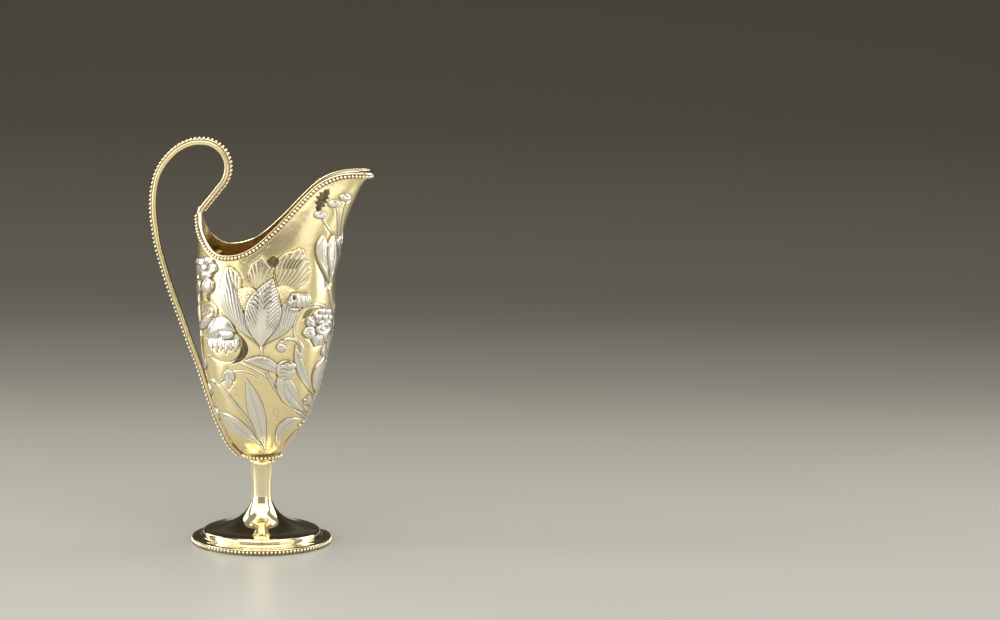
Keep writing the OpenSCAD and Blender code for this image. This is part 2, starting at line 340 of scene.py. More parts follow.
    def shape(self, V, lift=0.3, dome=0.6, R=2.5, silver=1.0, dark=0.8, fan=None, pitch=1.1, amp=0.08,
              stip=0.0, tuck=0.2,
              tilt=(0, 0), rag=0.0, edge=0.0, smooth=5):
        """Closed outline V, domed; fan is the point its veins spread from."""
        I, P, sd = self.inside(V, 1.6, smooth)
        if rag:
            sd = sd + rag * (vnoise(P[:, 0] * 1.3 + 11, P[:, 1] * 1.3) - 0.5)
        cen = V.mean(0)
        h = lift + dome * (1 - np.exp(-np.maximum(sd, 0) / R)) + edge * np.exp(-((sd - 0.35) / 0.3) ** 2)
        h = h + (P[:, 0] - cen[0]) * tilt[0] + (P[:, 1] - cen[1]) * tilt[1]
        g = 0
        if fan is not None:
            v = P - fan
            rr = np.hypot(v[:, 0], v[:, 1])
            mean = np.hypot(*(cen - fan)) + 1e-9
            f = (np.arctan2(v[:, 0], v[:, 1])
                 + 0.5 * (vnoise(P[:, 0] * 0.4, P[:, 1] * 0.25) - 0.5) * pitch / mean) * mean / pitch
            m = sstep((sd - 0.15) / 0.5) * sstep(rr / (mean * 0.5) - 0.6)
            g = self.lines(f, pitch * rr / mean) * m
            h = h - amp * g + 0.06 * np.cos(2 * np.pi * f) * m
        self.paint(I, sd, h, silver, dark, 0.2, stip, tuck)
        self.D[I] = np.maximum(self.D[I], 0.4 * g * sstep(sd / 0.2))

    def ball(self, c, rx, rz, h, rot=0.0, silver=1.0, dark=0.8, lift=0.1, stip=0.0, power=0.5, tuck=0.2):
        c = np.asarray(c, float)
        I = self.near(np.array([c]), max(rx, rz) + 1.2)
        x, z = self.S[I] - c[0], self.Z[I] - c[1]
        k, l = math.cos(math.radians(rot)), math.sin(math.radians(rot))
        X, Z = (x * k + z * l) / rx, (-x * l + z * k) / rz
        q = np.hypot(X, Z)
        sd = (1 - q) * min(rx, rz)
        self.paint(I, sd, lift + h * np.clip(1 - q**2, 0, 1) ** power, silver, dark, 0.2, stip, tuck)

    def hollow(self, c, rx, rz, depth, rot=0.0, dark=0.8):
        c = np.asarray(c, float)
        I = self.near(np.array([c]), max(rx, rz) + 1)
        x, z = self.S[I] - c[0], self.Z[I] - c[1]
        k, l = math.cos(math.radians(rot)), math.sin(math.radians(rot))
        q = np.hypot((x * k + z * l) / rx, (-x * l + z * k) / rz)
        g = np.exp(-q**4)
        self.H[I] -= depth * g
        self.D[I] = np.maximum(self.D[I], dark * g)

    def line(self, C, r=0.16, depth=0.12, dark=0.6):
        I, d, _, _ = self.spine(curve(C), 0.9)
        g = np.exp(-(d / r) ** 2)
        self.H[I] -= depth * g
        self.D[I] = np.maximum(self.D[I], dark * g)

    def dots(self, pts, r=0.22, depth=0.1, dark=0.55):
        for p in np.atleast_2d(pts):
            self.hollow(p, r, r, depth, 0, dark)


def bow(a, b, sag, n=9):
    """Arc from a to b; its middle stands off the straight line by sag."""
    a, b = np.array(a, float), np.array(b, float)
    t = np.linspace(0, 1, n)[:, None]
    side = np.array([a[1] - b[1], b[0] - a[0]]) / np.hypot(*(b - a))
    return a + (b - a) * t + side * sag * 4 * t * (1 - t)


def swell(wide, full, n):
    """Half widths along a leaf: nothing at both ends, widest at the fraction full."""
    t = np.linspace(0, 1, n)
    return wide / 2 * np.sin(np.pi * t ** (np.log(0.5) / np.log(full)))


def both_sides(C, w):
    """Outline that keeps the half widths w on both sides of the line C."""
    T = np.gradient(C, axis=0)
    N = np.stack([-T[:, 1], T[:, 0]], -1) / np.hypot(T[:, 0], T[:, 1])[:, None]
    return np.vstack([C + N * w[:, None], (C - N * w[:, None])[-2:0:-1]])


def blade(a, b, sag, wide, full=0.5, n=13):
    """Outline of a leaf or petal that lies along an arc from a to b."""
    return both_sides(bow(a, b, sag, n), swell(wide, full, n))


def ragged(a, b, sag, wide, teeth):
    """Outline of a patch along an arc, torn into teeth on both sides."""
    n = 2 * teeth + 1
    return both_sides(bow(a, b, sag, n), swell(wide, 0.5, n) * (1 - 0.5 * (np.arange(n) % 2)))


def ellipse(x, z, rx, rz, start=0, sweep=360, n=14):
    """Points round an ellipse, or along part of it; angles in degrees."""
    a = np.radians(start + sweep * np.arange(n) / (n if sweep == 360 else n - 1))
    return np.stack([x + rx * np.cos(a), z + rz * np.sin(a)], -1)


def polar(x, z, reach, angle):
    """Point at a distance and an angle in degrees from (x, z)."""
    return (x + reach * np.cos(np.radians(angle)), z + reach * np.sin(np.radians(angle)))


def here(x, z):
    return on([(x, z)])[0]


def ribbed_leaf(c, a, b, sag, wide, full, lift, dome, roll, edge):
    """Leaf with one engraved rib down its middle."""
    c.shape(on(blade(a, b, sag, wide, full)), lift, dome, roll, edge=edge, smooth=4)
    c.line(on(bow(a, b, sag)[1:-1]), 0.2, 0.1, 0.3)


def flower(c, x, z, petals, reach, wide, turn, lift, dome):
    """Ring of equal petals round a centre."""
    for k in range(petals):
        tip = polar(x, z, reach, turn + 360 * k / petals)
        c.shape(on(blade((x, z), tip, 0.3, wide, 0.62)), lift, dome, 1.0, edge=0.15,
                fan=here(x, z), pitch=0.7, tuck=0.3)


def stems(c):
    c.rod(on(bow((-22.5, 66.5), (1, 36), 2.5)), 0.42, 0.16, dark=0.75)
    c.rod(on(bow((-22, 74.5), (17, 50), 5.5, 14)), 0.42, 0.26)
    c.rod(on(bow((-12.5, 67.5), (-2, 66), 1.5)), 0.26, 0.14, dark=0.6)
    c.rod(on(bow((-0.5, 79), (17, 50.5), -4.5)), 0.44, 0.3)


def low_leaves(c):
    """Lance, wavy and crescent leaves near the foot of the bowl, all nearly flat."""
    ribbed_leaf(c, (1.5, 36), (-6.5, 65), -0.5, 6.5, 0.55, 0.12, 0.14, 1.5, 0.1)
    ribbed_leaf(c, (0, 39), (-17, 52), 0.5, 5, 0.55, 0.1, 0.12, 1.2, 0.06)
    ribbed_leaf(c, (6, 39), (16, 49.5), 3, 4, 0.5, 0.14, 0.2, 1.2, 0.08)
    c.shape(on(blade((9, 38.5), (16, 46), 0.3, 1.2)), 0.05, 0.08, 0.8, silver=0.5, edge=0.04)


def curled_leaf(c):
    """Leaf that curls over under the tulip, with short cuts along its upper edge."""
    a, b, sag = (8.5, 56.5), (-7, 72.5), -6.5
    c.shape(on(blade(a, b, sag, 4.6, 0.72)), 0.4, 0.65, 1.3, edge=0.1, smooth=4, tuck=0.3)
    c.line(on(bow(a, b, sag)[2:-1]), 0.18, 0.14, 0.4)
    for x in (-4.5, -2.5, -0.5, 1.5):
        c.line(on(bow((x, 73), (x + 1, 74.3), 0.2, 4)), 0.2, 0.14, 0.6)


def scrolling_leaf(c):
    """Broad leaf with a rolled head."""
    c.shape(on(blade((18.5, 51.5), (7.5, 69), 2.5, 7.5, 0.6)), 0.22, 0.3, 1.2, edge=0.16, smooth=4)
    for sag, deep in ((1.2, 0.16), (3.6, 0.08)):
        c.line(on(bow((17.5, 52.5), (8.5, 65.5), sag)), 0.2, deep, 0.3)
    c.shape(on(ellipse(9.2, 69, 3.7, 3.8)), 0.45, 0.8, 1.7, tuck=0.25, smooth=4)
    c.spot(11.5, 71, 1.4, 1.4, 0.7, 0, lift=1.15, dark=0.3)
    c.line(on(ellipse(10.5, 70.5, 2.2, 1.6, 200, 150, 6)), 0.24, 0.3, 0.7)
    c.line(on(bow((8, 71.5), (11, 72), 0.4, 4)), 0.34, 0.3, 1.0)
    for z in (66.5, 68, 69.5, 71):
        c.line(on(bow((7, z), (9.7, z), 0.3, 4)), 0.17, 0.16, 0.6)


def hooked_scroll(c):
    ribbed_leaf(c, (20.5, 59), (13.2, 79), 1.2, 3.6, 0.55, 0.3, 0.4, 1.3, 0.12)
    c.rod(on(ellipse(11, 77, 4.8, 4.5, -30, 200, 12)), 0.72, 0.45, lift=0.25)
    c.spot(7.5, 78, 1.75, 1.6, 0.7, 0, lift=0.5, dark=0.6)
    c.pitspot(8, 81, 0.7, 0.35, 0.4, 0.9)


def right_side(c):
    """Tall leaf, two knobs and a rosette low on the right."""
    ribbed_leaf(c, (22, 58.5), (26, 76), 1.8, 4, 0.5, 0.4, 0.6, 1.1, 0.14)
    c.spot(17, 48.5, 1.0, 0.95, 0.5)
    c.spot(15.5, 47, 0.6, 0.6, 0.35)
    for k in range(5):
        c.spot(*polar(18.4, 56.7, 1.2, 20 + 72 * k), 0.75, 0.7, 0.4)
    c.spot(18.4, 56.7, 0.6, 0.6, 0.6, silver=0.2)


def hanging_bud(c):
    for tip, wide in (((-16.5, 64), 2.2), ((-13.5, 61), 3.0), ((-11.5, 64), 2.2)):
        c.shape(on(blade((-14, 69), tip, 0.3, wide, 0.55)), 0.14, 0.22, 1.2, edge=0.08, smooth=3)
        c.line(on(bow((-14, 68.5), tip, 0.3, 5)), 0.14, 0.07, 0.4)
    c.rod(on(ellipse(-18, 65.5, 2, 1.9, 200, 140, 6)), 0.3, 0.26)


def tulip(c):
    """Back petals first, then the stippled throat, then the three petals in front."""
    for a, b, wide, origin, pitch in (((7.5, 96), (15.5, 117.5), 14, (2, 92.5), 1.5),
                                      ((0, 97), (-0.5, 114), 10, (-2, 96), 1.1),
                                      ((-9, 96), (-13, 110), 6.5, (-10.5, 92.5), 1.1)):
        c.shape(on(blade(a, b, 0.5, wide, 0.6)), 0.45, 0.5, 1.9, fan=here(*origin), pitch=pitch,
                rag=0.5, edge=0.16, silver=0.35, tilt=(0, 0.03), smooth=3)
    for k in range(5):
        c.line(on(bow((8 + 1.2 * k, 109.5), (9.5 + 1.4 * k, 113), 0.2, 4)), 0.32, 0.22, 1.0)
    # dark recess between the back petals: painted shade
    c.pit(on(blade((4.2, 109.5), (4, 114.5), 0, 5)), 0.7, 0.95)
    for x, z, rx, rz in ((-6, 97, 5, 5), (8, 98.5, 5.5, 4)):
        c.shape(on(ellipse(x, z, rx, rz)), 0.5, 0.6, 1.6, silver=0.0, stip=1.0, dark=0.45, tilt=(0, 0.03))
    for b, sag, wide, origin in (((-14, 110), 5, 7.5, (-5, 63)), ((12, 100), -2.8, 7.5, (4, 63))):
        c.shape(on(blade((0, 79), b, sag, wide, 0.6)), 0.55, 0.75, 1.8, fan=here(*origin), pitch=1.0,
                edge=0.1, smooth=4)
    a, b, sag = (-0.5, 78.5), (4, 105.5), 1.5
    c.shape(on(blade(a, b, sag, 14, 0.48)), 0.95, 1.0, 3.0, rag=0.16, edge=0.12, tuck=0.4, smooth=4)
    c.feather(on(bow(a, b, sag, 7)), list(0.5 + swell(12.5, 0.42, 7)), 1.05, 0.11, 1.5, t0=0.16)
    for k in range(4):
        c.line(on(bow((0.6, 94 + 2 * k), (3.4 - 0.2 * k, 96.5 + 1.8 * k), 0.3, 4)), 0.3, 0.22, 1.0)
        c.line(on(bow((-1.6, 93.5 + 2 * k), (-4.2 + 0.6 * k, 95.5 + 1.6 * k), -0.3, 4)), 0.3, 0.22, 1.0)


def rolled_tip(c):
    """Right petal's tip, rolled outward."""
    # dark line under the rolled tube: painted shadow
    c.line(on(bow((10, 93.5), (14.5, 93), -0.8, 5)), 0.45, 0.1, 0.55)
    c.tube(here(11.5, 97), here(17.5, 97), 2.85, 2.75, 1.5, 0.8)
    c.hollow(here(12, 98), 0.7, 1.2, 0.7, 0, 0.95)
    for x, sag in ((11, 0.7), (13, -0.6)):
        c.line(on(bow((x, 99.3), (x, 94.3), sag, 6)), 0.24, 0.3, 0.6)
    for x in (14.5, 16, 17.5):
        c.line(on(bow((x, 98.8), (x + 0.5, 95.5), -0.4, 5)), 0.16, 0.16, 0.5)


def daffodil(c):
    """Open flower on an arched stem, with a full head of small petals above it."""
    c.pit(on(blade((16, 89), (21, 93.5), 0.5, 2.5)), 0.5, 0.7)
    c.rod(on(ellipse(21.5, 85.5, 9, 10, 215, -147, 12)), 0.4, 0.4)
    flower(c, 23, 85.5, 6, 7.2, 5.0, 15, 0.45, 0.6)
    c.shape(on(ellipse(24.3, 90.5, 4.2, 3.6)), 0.7, 0.8, 1.3, edge=0.15, rag=0.3)
    for k in range(6):
        c.spot(*polar(24.2, 90.6, 2.6, 60 * k), 1.25, 1.2, 0.65, 0, lift=1.25, dark=0.6)
    c.spot(24.2, 90.6, 1.2, 1.15, 0.65, 0, lift=1.3, dark=0.6)
    c.spot(23.5, 85.8, 2.6, 2.3, 0.9, 0, lift=1.3, dark=0.7)
    c.pitspot(23.5, 86, 1.7, 1.45, 0.8, 0.3)
    c.spot(23.5, 85.9, 0.95, 0.75, 0.55, 0, lift=1.35, dark=0.5)


def trumpet(c):
    """Long flower under the lip, with three curled stamens."""
    c.rod(on(bow((26, 104), (26.5, 75.5), 2.2)), 0.75, 0.3)
    for a, b, sag in (((31, 122.5), (33.5, 137.5), 0.4), ((30, 122.5), (29, 135), -0.4),
                      ((29.5, 122), (23.5, 130.5), 0.8)):
        c.rod(on(bow(a, b, sag)), 0.36, 0.34)
        c.shape(on(ellipse(b[0] - 0.8, b[1] + 0.4, 2.3, 1.5)), 0.35, 0.5, 1.0, edge=0.1)
        c.pitspot(b[0] - 0.8, b[1] + 0.8, 0.8, 0.4, 0.25, 0.45)
    for top, sag, wide, lift in ((30.5, 0.4, 3.2, 0.5), (23.5, 1.0, 5.2, 0.7), (27.5, -0.3, 4.4, 0.8)):
        c.shape(on(blade((26.3, 103.5), (top, 123), sag, wide, 0.66)), lift, 0.9, 1.4, edge=0.2, tuck=0.35)
        c.line(on(bow((26.3, 106), (top, 120.5), sag)), 0.2, 0.13, 0.4)


def back_cluster(c):
    """Rose, barrel, ring, bell bud and toothed cup toward the handle."""
    flower(c, -22.8, 109.5, 5, 4.8, 4.4, 55, 0.5, 0.9)
    c.spot(-22.8, 109.5, 1.3, 1.3, 0.8, 0, lift=1.1)
    c.shape(on(ellipse(-22, 102.3, 2.6, 3)), 0.6, 1.4, 1.6, tuck=0.4)
    c.line(on(bow((-20.3, 105), (-20.3, 100), 0.4, 5)), 0.2, 0.3, 0.6)
    c.shape(on(ellipse(-25.8, 102, 1.5, 3)), 0.5, 0.8, 1.0, edge=0.2)
    c.pit(on(ellipse(-22, 97.5, 1, 1.6)), 0.5, 0.95)
    for r, z, deep in ((3.4, 92.6, 0.3), (2.0, 92.1, 0.35)):
        c.spot(-21.5, z, r, 0.95 * r, 0.45, 0, lift=deep, silver=0.3)
        c.pitspot(-21.5, z + 0.4, 0.8 * r, 0.8 * r, 0.4, deep)
    c.leaf(on(bow((-20, 91), (-24.7, 84.7), -0.5, 4)), [0.6, 1.5, 1.7, 0.4], 0.8, rib=0.2, veins=5, lift=0.4)
    c.leaf(on(bow((-25.3, 96), (-25, 86.5), -0.4, 4)), [0.3, 1.2, 1.3, 0.2], 0.5, rib=0.2, lift=0.3)
    c.shape(on(ellipse(-15, 77, 6.4, 5)), 0.5, 0.9, 2.6, silver=0.1)
    for k in range(6):
        top, low = here(-20.2 + 2 * k, 81.4), here(-19.4 + 1.8 * k, 76.2 - 0.9 * (k % 2) + 0.4 * abs(k - 2.5))
        c.leaf(np.array([top, (top + low) / 2, low]), [1.0, 1.15, 0.12], 0.35, rib=0.3, lift=1.25,
               silver=0.85, wav=0.15, wn=3, veins=4, amp=0.06)
    # dark recess beside the toothed cup: painted shade
    c.pit(on(blade((-12.5, 71), (-9, 82.5), -3.5, 3)), 0.5, 1.0)
    c.shape(on(ellipse(-16.5, 81.5, 5.8, 8.6, 0, 180)), 0.6, 1.9, 3.4, tuck=0.5, smooth=4)
    c.shape(on(ellipse(-14, 83, 3.2, 1.7)), 1.9, 0.7, 0.9, edge=0.12)
    c.pit(on(ellipse(-16, 82.9, 1, 1)), 0.3, 0.9)
    for x, sag in ((-20, 0.6), (-18.5, 0.4), (-17, 0.2)):
        c.line(on(bow((x + 0.5, 88 - 0.5 * sag), (x, 82.5), sag, 5)), 0.16, 0.14, 0.4)


def unseen_sides(c):
    """Leafy stems up the back, under the handle, and down the front, under the lip."""
    c.rod(at([(172, 42), (170, 52), (172, 64), (176, 78), (172, 92), (174, 104), (178, 114)]), 0.6, 0.3)
    for u, z, q in ((169, 50, -1), (168, 60, -1), (176, 70, 1), (168, 84, -1), (170, 97, -1), (178, 108, 1)):
        p = at([(u, z)])[0]
        c.leaf(np.array([p, p + (1.5 * q, 2.4), p + (2.2 * q, 5.2)]), [0.4, 1.3, 0.15], 0.45, rib=0.25,
               veins=5, amp=0.06)
    c.rod(at([(2, 42), (7, 52), (10, 62), (7, 72), (10, 82)]), 0.6, 0.3)
    for u, z, q in ((8, 56, 1), (9, 66, -1), (8, 76, 1), (3, 90, 1), (2, 70, -1)):
        p = at([(u, z)])[0]
        c.leaf(np.array([p, p + (-1.5 * q, 2.6), p + (-2.0 * q, 5.6)]), [0.4, 1.5, 0.15], 0.5, rib=0.25,
               veins=5, amp=0.06)


def ground_marks(c):
    """Dark ragged patch in the lip, a painted reflection of something dark, and light engraved curls and dots
    on the ground.
    """
    # painted reflection: nearly flat dark patch where the lip mirrors something dark
    c.pit(on(ragged((21.5, 131.5), (26.5, 141.5), 0.8, 6, 6)), 0.06, 1.1, 1)
    for x, z, r, start in ((2.8, 116, 1.7, -90), (-7.8, 113.2, 1.4, 200),
                           (-11.5, 59.8, 1.3, 180), (5.8, 52, 1.3, 60)):
        c.line(on(ellipse(x, z, r, 1.3 * r, start, 260, 9)), 0.14, 0.07, 0.3)
    for x, z, dx, dz in ((-12, 60.5, 0.9, -0.8), (6.2, 52.8, 0, -1.3), (-6.4, 40.4, 1.4, 0)):
        c.dots(on([(x + k * dx, z + k * dz) for k in range(4)]))


def ornament(c):
    """The flowers and leaves of one side, in the order they lie over one another."""
    for motif in (stems, low_leaves, curled_leaf, scrolling_leaf, hooked_scroll, right_side, hanging_bud,
                  tulip, rolled_tip, daffodil, trumpet, back_cluster, unseen_sides, ground_marks):
        motif(c)


def chasing(U, Z):
    """Fields over columns U (0..180) and heights Z."""
    c = Chasing(s_of(np.broadcast_to(U, Z.shape), Z), Z)
    ornament(c)
    S = c.S
    c.H += ((0.05 * (vnoise(S * 0.35 + 3, Z * 0.3) - 0.5) + 0.03 * (vnoise(S * 0.9 + 40, Z * 0.8) - 0.5))
            * (0.15 + 0.85 * sstep((Z - 42) / 10)))
    return c


# ---------------------------------------------------------------- meshes
def mesh_obj(name, verts, faces, mats, smooth=True):
    me = bpy.data.meshes.new(name)
    me.from_pydata((np.asarray(verts) * MM).tolist(), [], [tuple(map(int, f)) for f in faces])
    me.update()
    me.polygons.foreach_set("use_smooth", [smooth] * len(me.polygons))
    ob = bpy.data.objects.new(name, me)
    bpy.context.scene.collection.objects.link(ob)
    for m in mats if isinstance(mats, (list, tuple)) else [mats]:
        me.materials.append(m)
    return ob


def grid_faces(nr, nc, close_r=False, close_c=True, base=0, flip=False):
    i = np.arange(nr if close_r else nr - 1)[:, None]
    j = np.arange(nc if close_c else nc - 1)[None, :]
    a = i * nc + j
    b = i * nc + (j + 1) % nc
    c = ((i + 1) % nr) * nc + (j + 1) % nc
    d = ((i + 1) % nr) * nc + j
    f = np.stack([a, b, c, d], -1).reshape(-1, 4) + base
    return f[:, ::-1] if flip else f


def revolve(name, prof, mat, seg=192, closed=True):
    """Turned piece from a closed profile of (reach, height)."""
    P = np.asarray(prof, float)
    a = np.arange(seg) * 2 * np.pi / seg
    V = np.stack([P[:, None, 0] * np.cos(a), P[:, None, 0] * np.sin(a),
                  np.broadcast_to(P[:, None, 1], (len(P), seg))], -1).reshape(-1, 3)
    return mesh_obj(name, V, grid_faces(len(P), seg, close_r=closed), mat)


def sweep(name, C, U, W, sec, mat):
    """Section sec (across, out) carried along points C with directions U across and W out; capped."""
    R = C[:, None, :] + sec[None, :, 0:1] * U[:, None, :] + sec[None, :, 1:2] * W[:, None, :]
    n, k = R.shape[:2]
    F = [list(f) for f in grid_faces(n, k)]
    F += [list(range(k))[::-1], [(n - 1) * k + j for j in range(k)]]
    return mesh_obj(name, R.reshape(-1, 3), F, mat)


def finish_piece(ob, node):
    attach(ob, "root")
    if node:
        for n in [node] if isinstance(node, str) else node:
            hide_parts(n)
    return ob


def recalc(ob):
    import bmesh
    bm = bmesh.new()
    bm.from_mesh(ob.data)
    bmesh.ops.recalc_face_normals(bm, faces=bm.faces)
    bm.to_mesh(ob.data)
    bm.free()
    return ob


# ---------------------------------------------------------------- materials
def metal(name, col, rough=0.2, vary=0.06, tint=(0.8, 0.66, 0.4), tint_amt=0.25, bump=0.02, scale=60.0):
    m = bpy.data.materials.new(name)
    m.use_nodes = True
    nt = m.node_tree
    N, Lk = nt.nodes, nt.links
    bs = N["Principled BSDF"]
    bs.inputs["Metallic"].default_value = 1.0
    tc = N.new("ShaderNodeTexCoord")
    n1 = N.new("ShaderNodeTexNoise")
    n1.inputs["Scale"].default_value = scale
    n1.inputs["Detail"].default_value = 5
    Lk.new(tc.outputs["Object"], n1.inputs["Vector"])
    mix = N.new("ShaderNodeMix")
    mix.data_type = "RGBA"
    mix.inputs[6].default_value = (*col, 1)
    mix.inputs[7].default_value = (*tint, 1)
    ramp = N.new("ShaderNodeMapRange")
    ramp.inputs[1].default_value = 0.4
    ramp.inputs[2].default_value = 0.75
    ramp.inputs[4].default_value = tint_amt
    Lk.new(n1.outputs["Fac"], ramp.inputs[0])
    Lk.new(ramp.outputs[0], mix.inputs[0])
    Lk.new(mix.outputs[2], bs.inputs["Base Color"])
    r = N.new("ShaderNodeMapRange")
    r.inputs[3].default_value = max(rough - vary, 0.02)
    r.inputs[4].default_value = rough + vary
    Lk.new(n1.outputs["Fac"], r.inputs[0])
    Lk.new(r.outputs[0], bs.inputs["Roughness"])
    n2 = N.new("ShaderNodeTexNoise")
    n2.inputs["Scale"].default_value = scale * 12
    n2.inputs["Detail"].default_value = 3
    Lk.new(tc.outputs["Object"], n2.inputs["Vector"])
    bp = N.new("ShaderNodeBump")
    bp.inputs["Strength"].default_value = bump
    bp.inputs["Distance"].default_value = 0.0005
    Lk.new(n2.outputs["Fac"], bp.inputs["Height"])
    Lk.new(bp.outputs[0], bs.inputs["Normal"])
    return m


def chased_metal(name):
    """Gilt ground, silver flowers, darkened in the recesses and outlines (partly tarnish, partly painted
    shade and painted reflection), stippled where marked.
    """
    m = metal(name, (0.93, 0.80, 0.47), 0.23, 0.05, (0.89, 0.72, 0.37), 0.4, 0.05, 45.0)
    nt = m.node_tree
    N, Lk = nt.nodes, nt.links
    bs = N["Principled BSDF"]
    at_ = N.new("ShaderNodeAttribute")
    at_.attribute_name = "chasing"
    sep = N.new("ShaderNodeSeparateColor")
    Lk.new(at_.outputs["Color"], sep.inputs[0])
    old = bs.inputs["Base Color"].links[0].from_socket
    tc = N.new("ShaderNodeTexCoord")
    nz = N.new("ShaderNodeTexNoise")
    nz.inputs["Scale"].default_value = 320
    nz.inputs["Detail"].default_value = 4
    Lk.new(tc.outputs["Object"], nz.inputs["Vector"])
    sil = N.new("ShaderNodeMix")
    sil.data_type = "RGBA"
    sil.inputs[6].default_value = (0.76, 0.72, 0.63, 1)
    sil.inputs[7].default_value = (0.87, 0.835, 0.75, 1)
    Lk.new(nz.outputs["Fac"], sil.inputs[0])
    mx = N.new("ShaderNodeMix")
    mx.data_type = "RGBA"
    Lk.new(sep.outputs[0], mx.inputs[0])
    Lk.new(old, mx.inputs[6])
    Lk.new(sil.outputs[2], mx.inputs[7])
    # darkening toward near-black brown by the chasing's dark channel: partly tarnish, partly painted shade
    # and painted reflection
    dk = N.new("ShaderNodeMix")
    dk.data_type = "RGBA"
    dk.inputs[7].default_value = (0.05, 0.042, 0.026, 1)
    dm = N.new("ShaderNodeMath")
    dm.operation = "MULTIPLY"
    dm.inputs[1].default_value = 0.97
    Lk.new(sep.outputs[1], dm.inputs[0])
    Lk.new(dm.outputs[0], dk.inputs[0])
    Lk.new(mx.outputs[2], dk.inputs[6])
    Lk.new(dk.outputs[2], bs.inputs["Base Color"])
    vo = N.new("ShaderNodeTexVoronoi")
    vo.inputs["Scale"].default_value = 1900
    Lk.new(tc.outputs["Object"], vo.inputs["Vector"])
    b2 = N.new("ShaderNodeBump")
    b2.inputs["Distance"].default_value = 0.0003
    Lk.new(vo.outputs["Distance"], b2.inputs["Height"])
    Lk.new(sep.outputs[2], b2.inputs["Strength"])
    Lk.new(bs.inputs["Normal"].links[0].from_socket, b2.inputs["Normal"])
    Lk.new(b2.outputs[0], bs.inputs["Normal"])
    ro = N.new("ShaderNodeMath")
    ro.operation = "MULTIPLY_ADD"
    ro.inputs[1].default_value = 0.22
    Lk.new(sep.outputs[1], ro.inputs[0])
    rs = N.new("ShaderNodeMath")
    rs.operation = "MULTIPLY_ADD"
    rs.inputs[1].default_value = 0.01
    Lk.new(sep.outputs[0], rs.inputs[0])
    Lk.new(bs.inputs["Roughness"].links[0].from_socket, rs.inputs[2])
    Lk.new(rs.outputs[0], ro.inputs[2])
    Lk.new(ro.outputs[0], bs.inputs["Roughness"])
    return m


GILT = chased_metal("bowl_gilt")
INSIDE = metal("inside_gilt", (0.82, 0.66, 0.36), 0.2, 0.06, (0.6, 0.42, 0.18), 0.5, 0.03, 40.0)


def painted_lip_light(m):
    """Inside of the lip is painted paler and rougher than the deep part of the bowl: painted light where
    light falls in at the mouth.
    """
    N, Lk = m.node_tree.nodes, m.node_tree.links
    bs = N["Principled BSDF"]
    tc = N.new("ShaderNodeTexCoord")
    sep = N.new("ShaderNodeSeparateXYZ")
    Lk.new(tc.outputs["Object"], sep.inputs[0])
    mr = N.new("ShaderNodeMapRange")
    mr.inputs[1].default_value, mr.inputs[2].default_value = 0.116, 0.138
    Lk.new(sep.outputs[2], mr.inputs[0])
    for socket, value in (("Base Color", (0.95, 0.90, 0.74, 1)), ("Roughness", (0.42, 0.42, 0.42, 1))):
        mx = N.new("ShaderNodeMix")
        mx.data_type = "RGBA"
        mx.inputs[7].default_value = value
        Lk.new(mr.outputs[0], mx.inputs[0])
        Lk.new(bs.inputs[socket].links[0].from_socket, mx.inputs[6])
        Lk.new(mx.outputs[2], bs.inputs[socket])


painted_lip_light(INSIDE)
EDGE = metal("edge_gilt", (0.93, 0.83, 0.56), 0.16)
BEADM = metal("bead_gilt", (0.93, 0.84, 0.6), 0.16)
STRAPM = metal("strap_gilt", (0.9, 0.76, 0.46), 0.18)
STEMM = metal("stem_gilt", (0.93, 0.82, 0.53), 0.1)
FOOTM = metal("foot_gilt", (0.93, 0.83, 0.55), 0.08, 0.03)
# dark bed under the bead rows: partly tarnish, partly painted shade in the gaps between and behind the beads
SHADE_TARNISH_BEDM = metal("bed_gilt", (0.30, 0.21, 0.09), 0.42, 0.1, (0.16, 0.11, 0.05), 0.6, 0.1, 90.0)


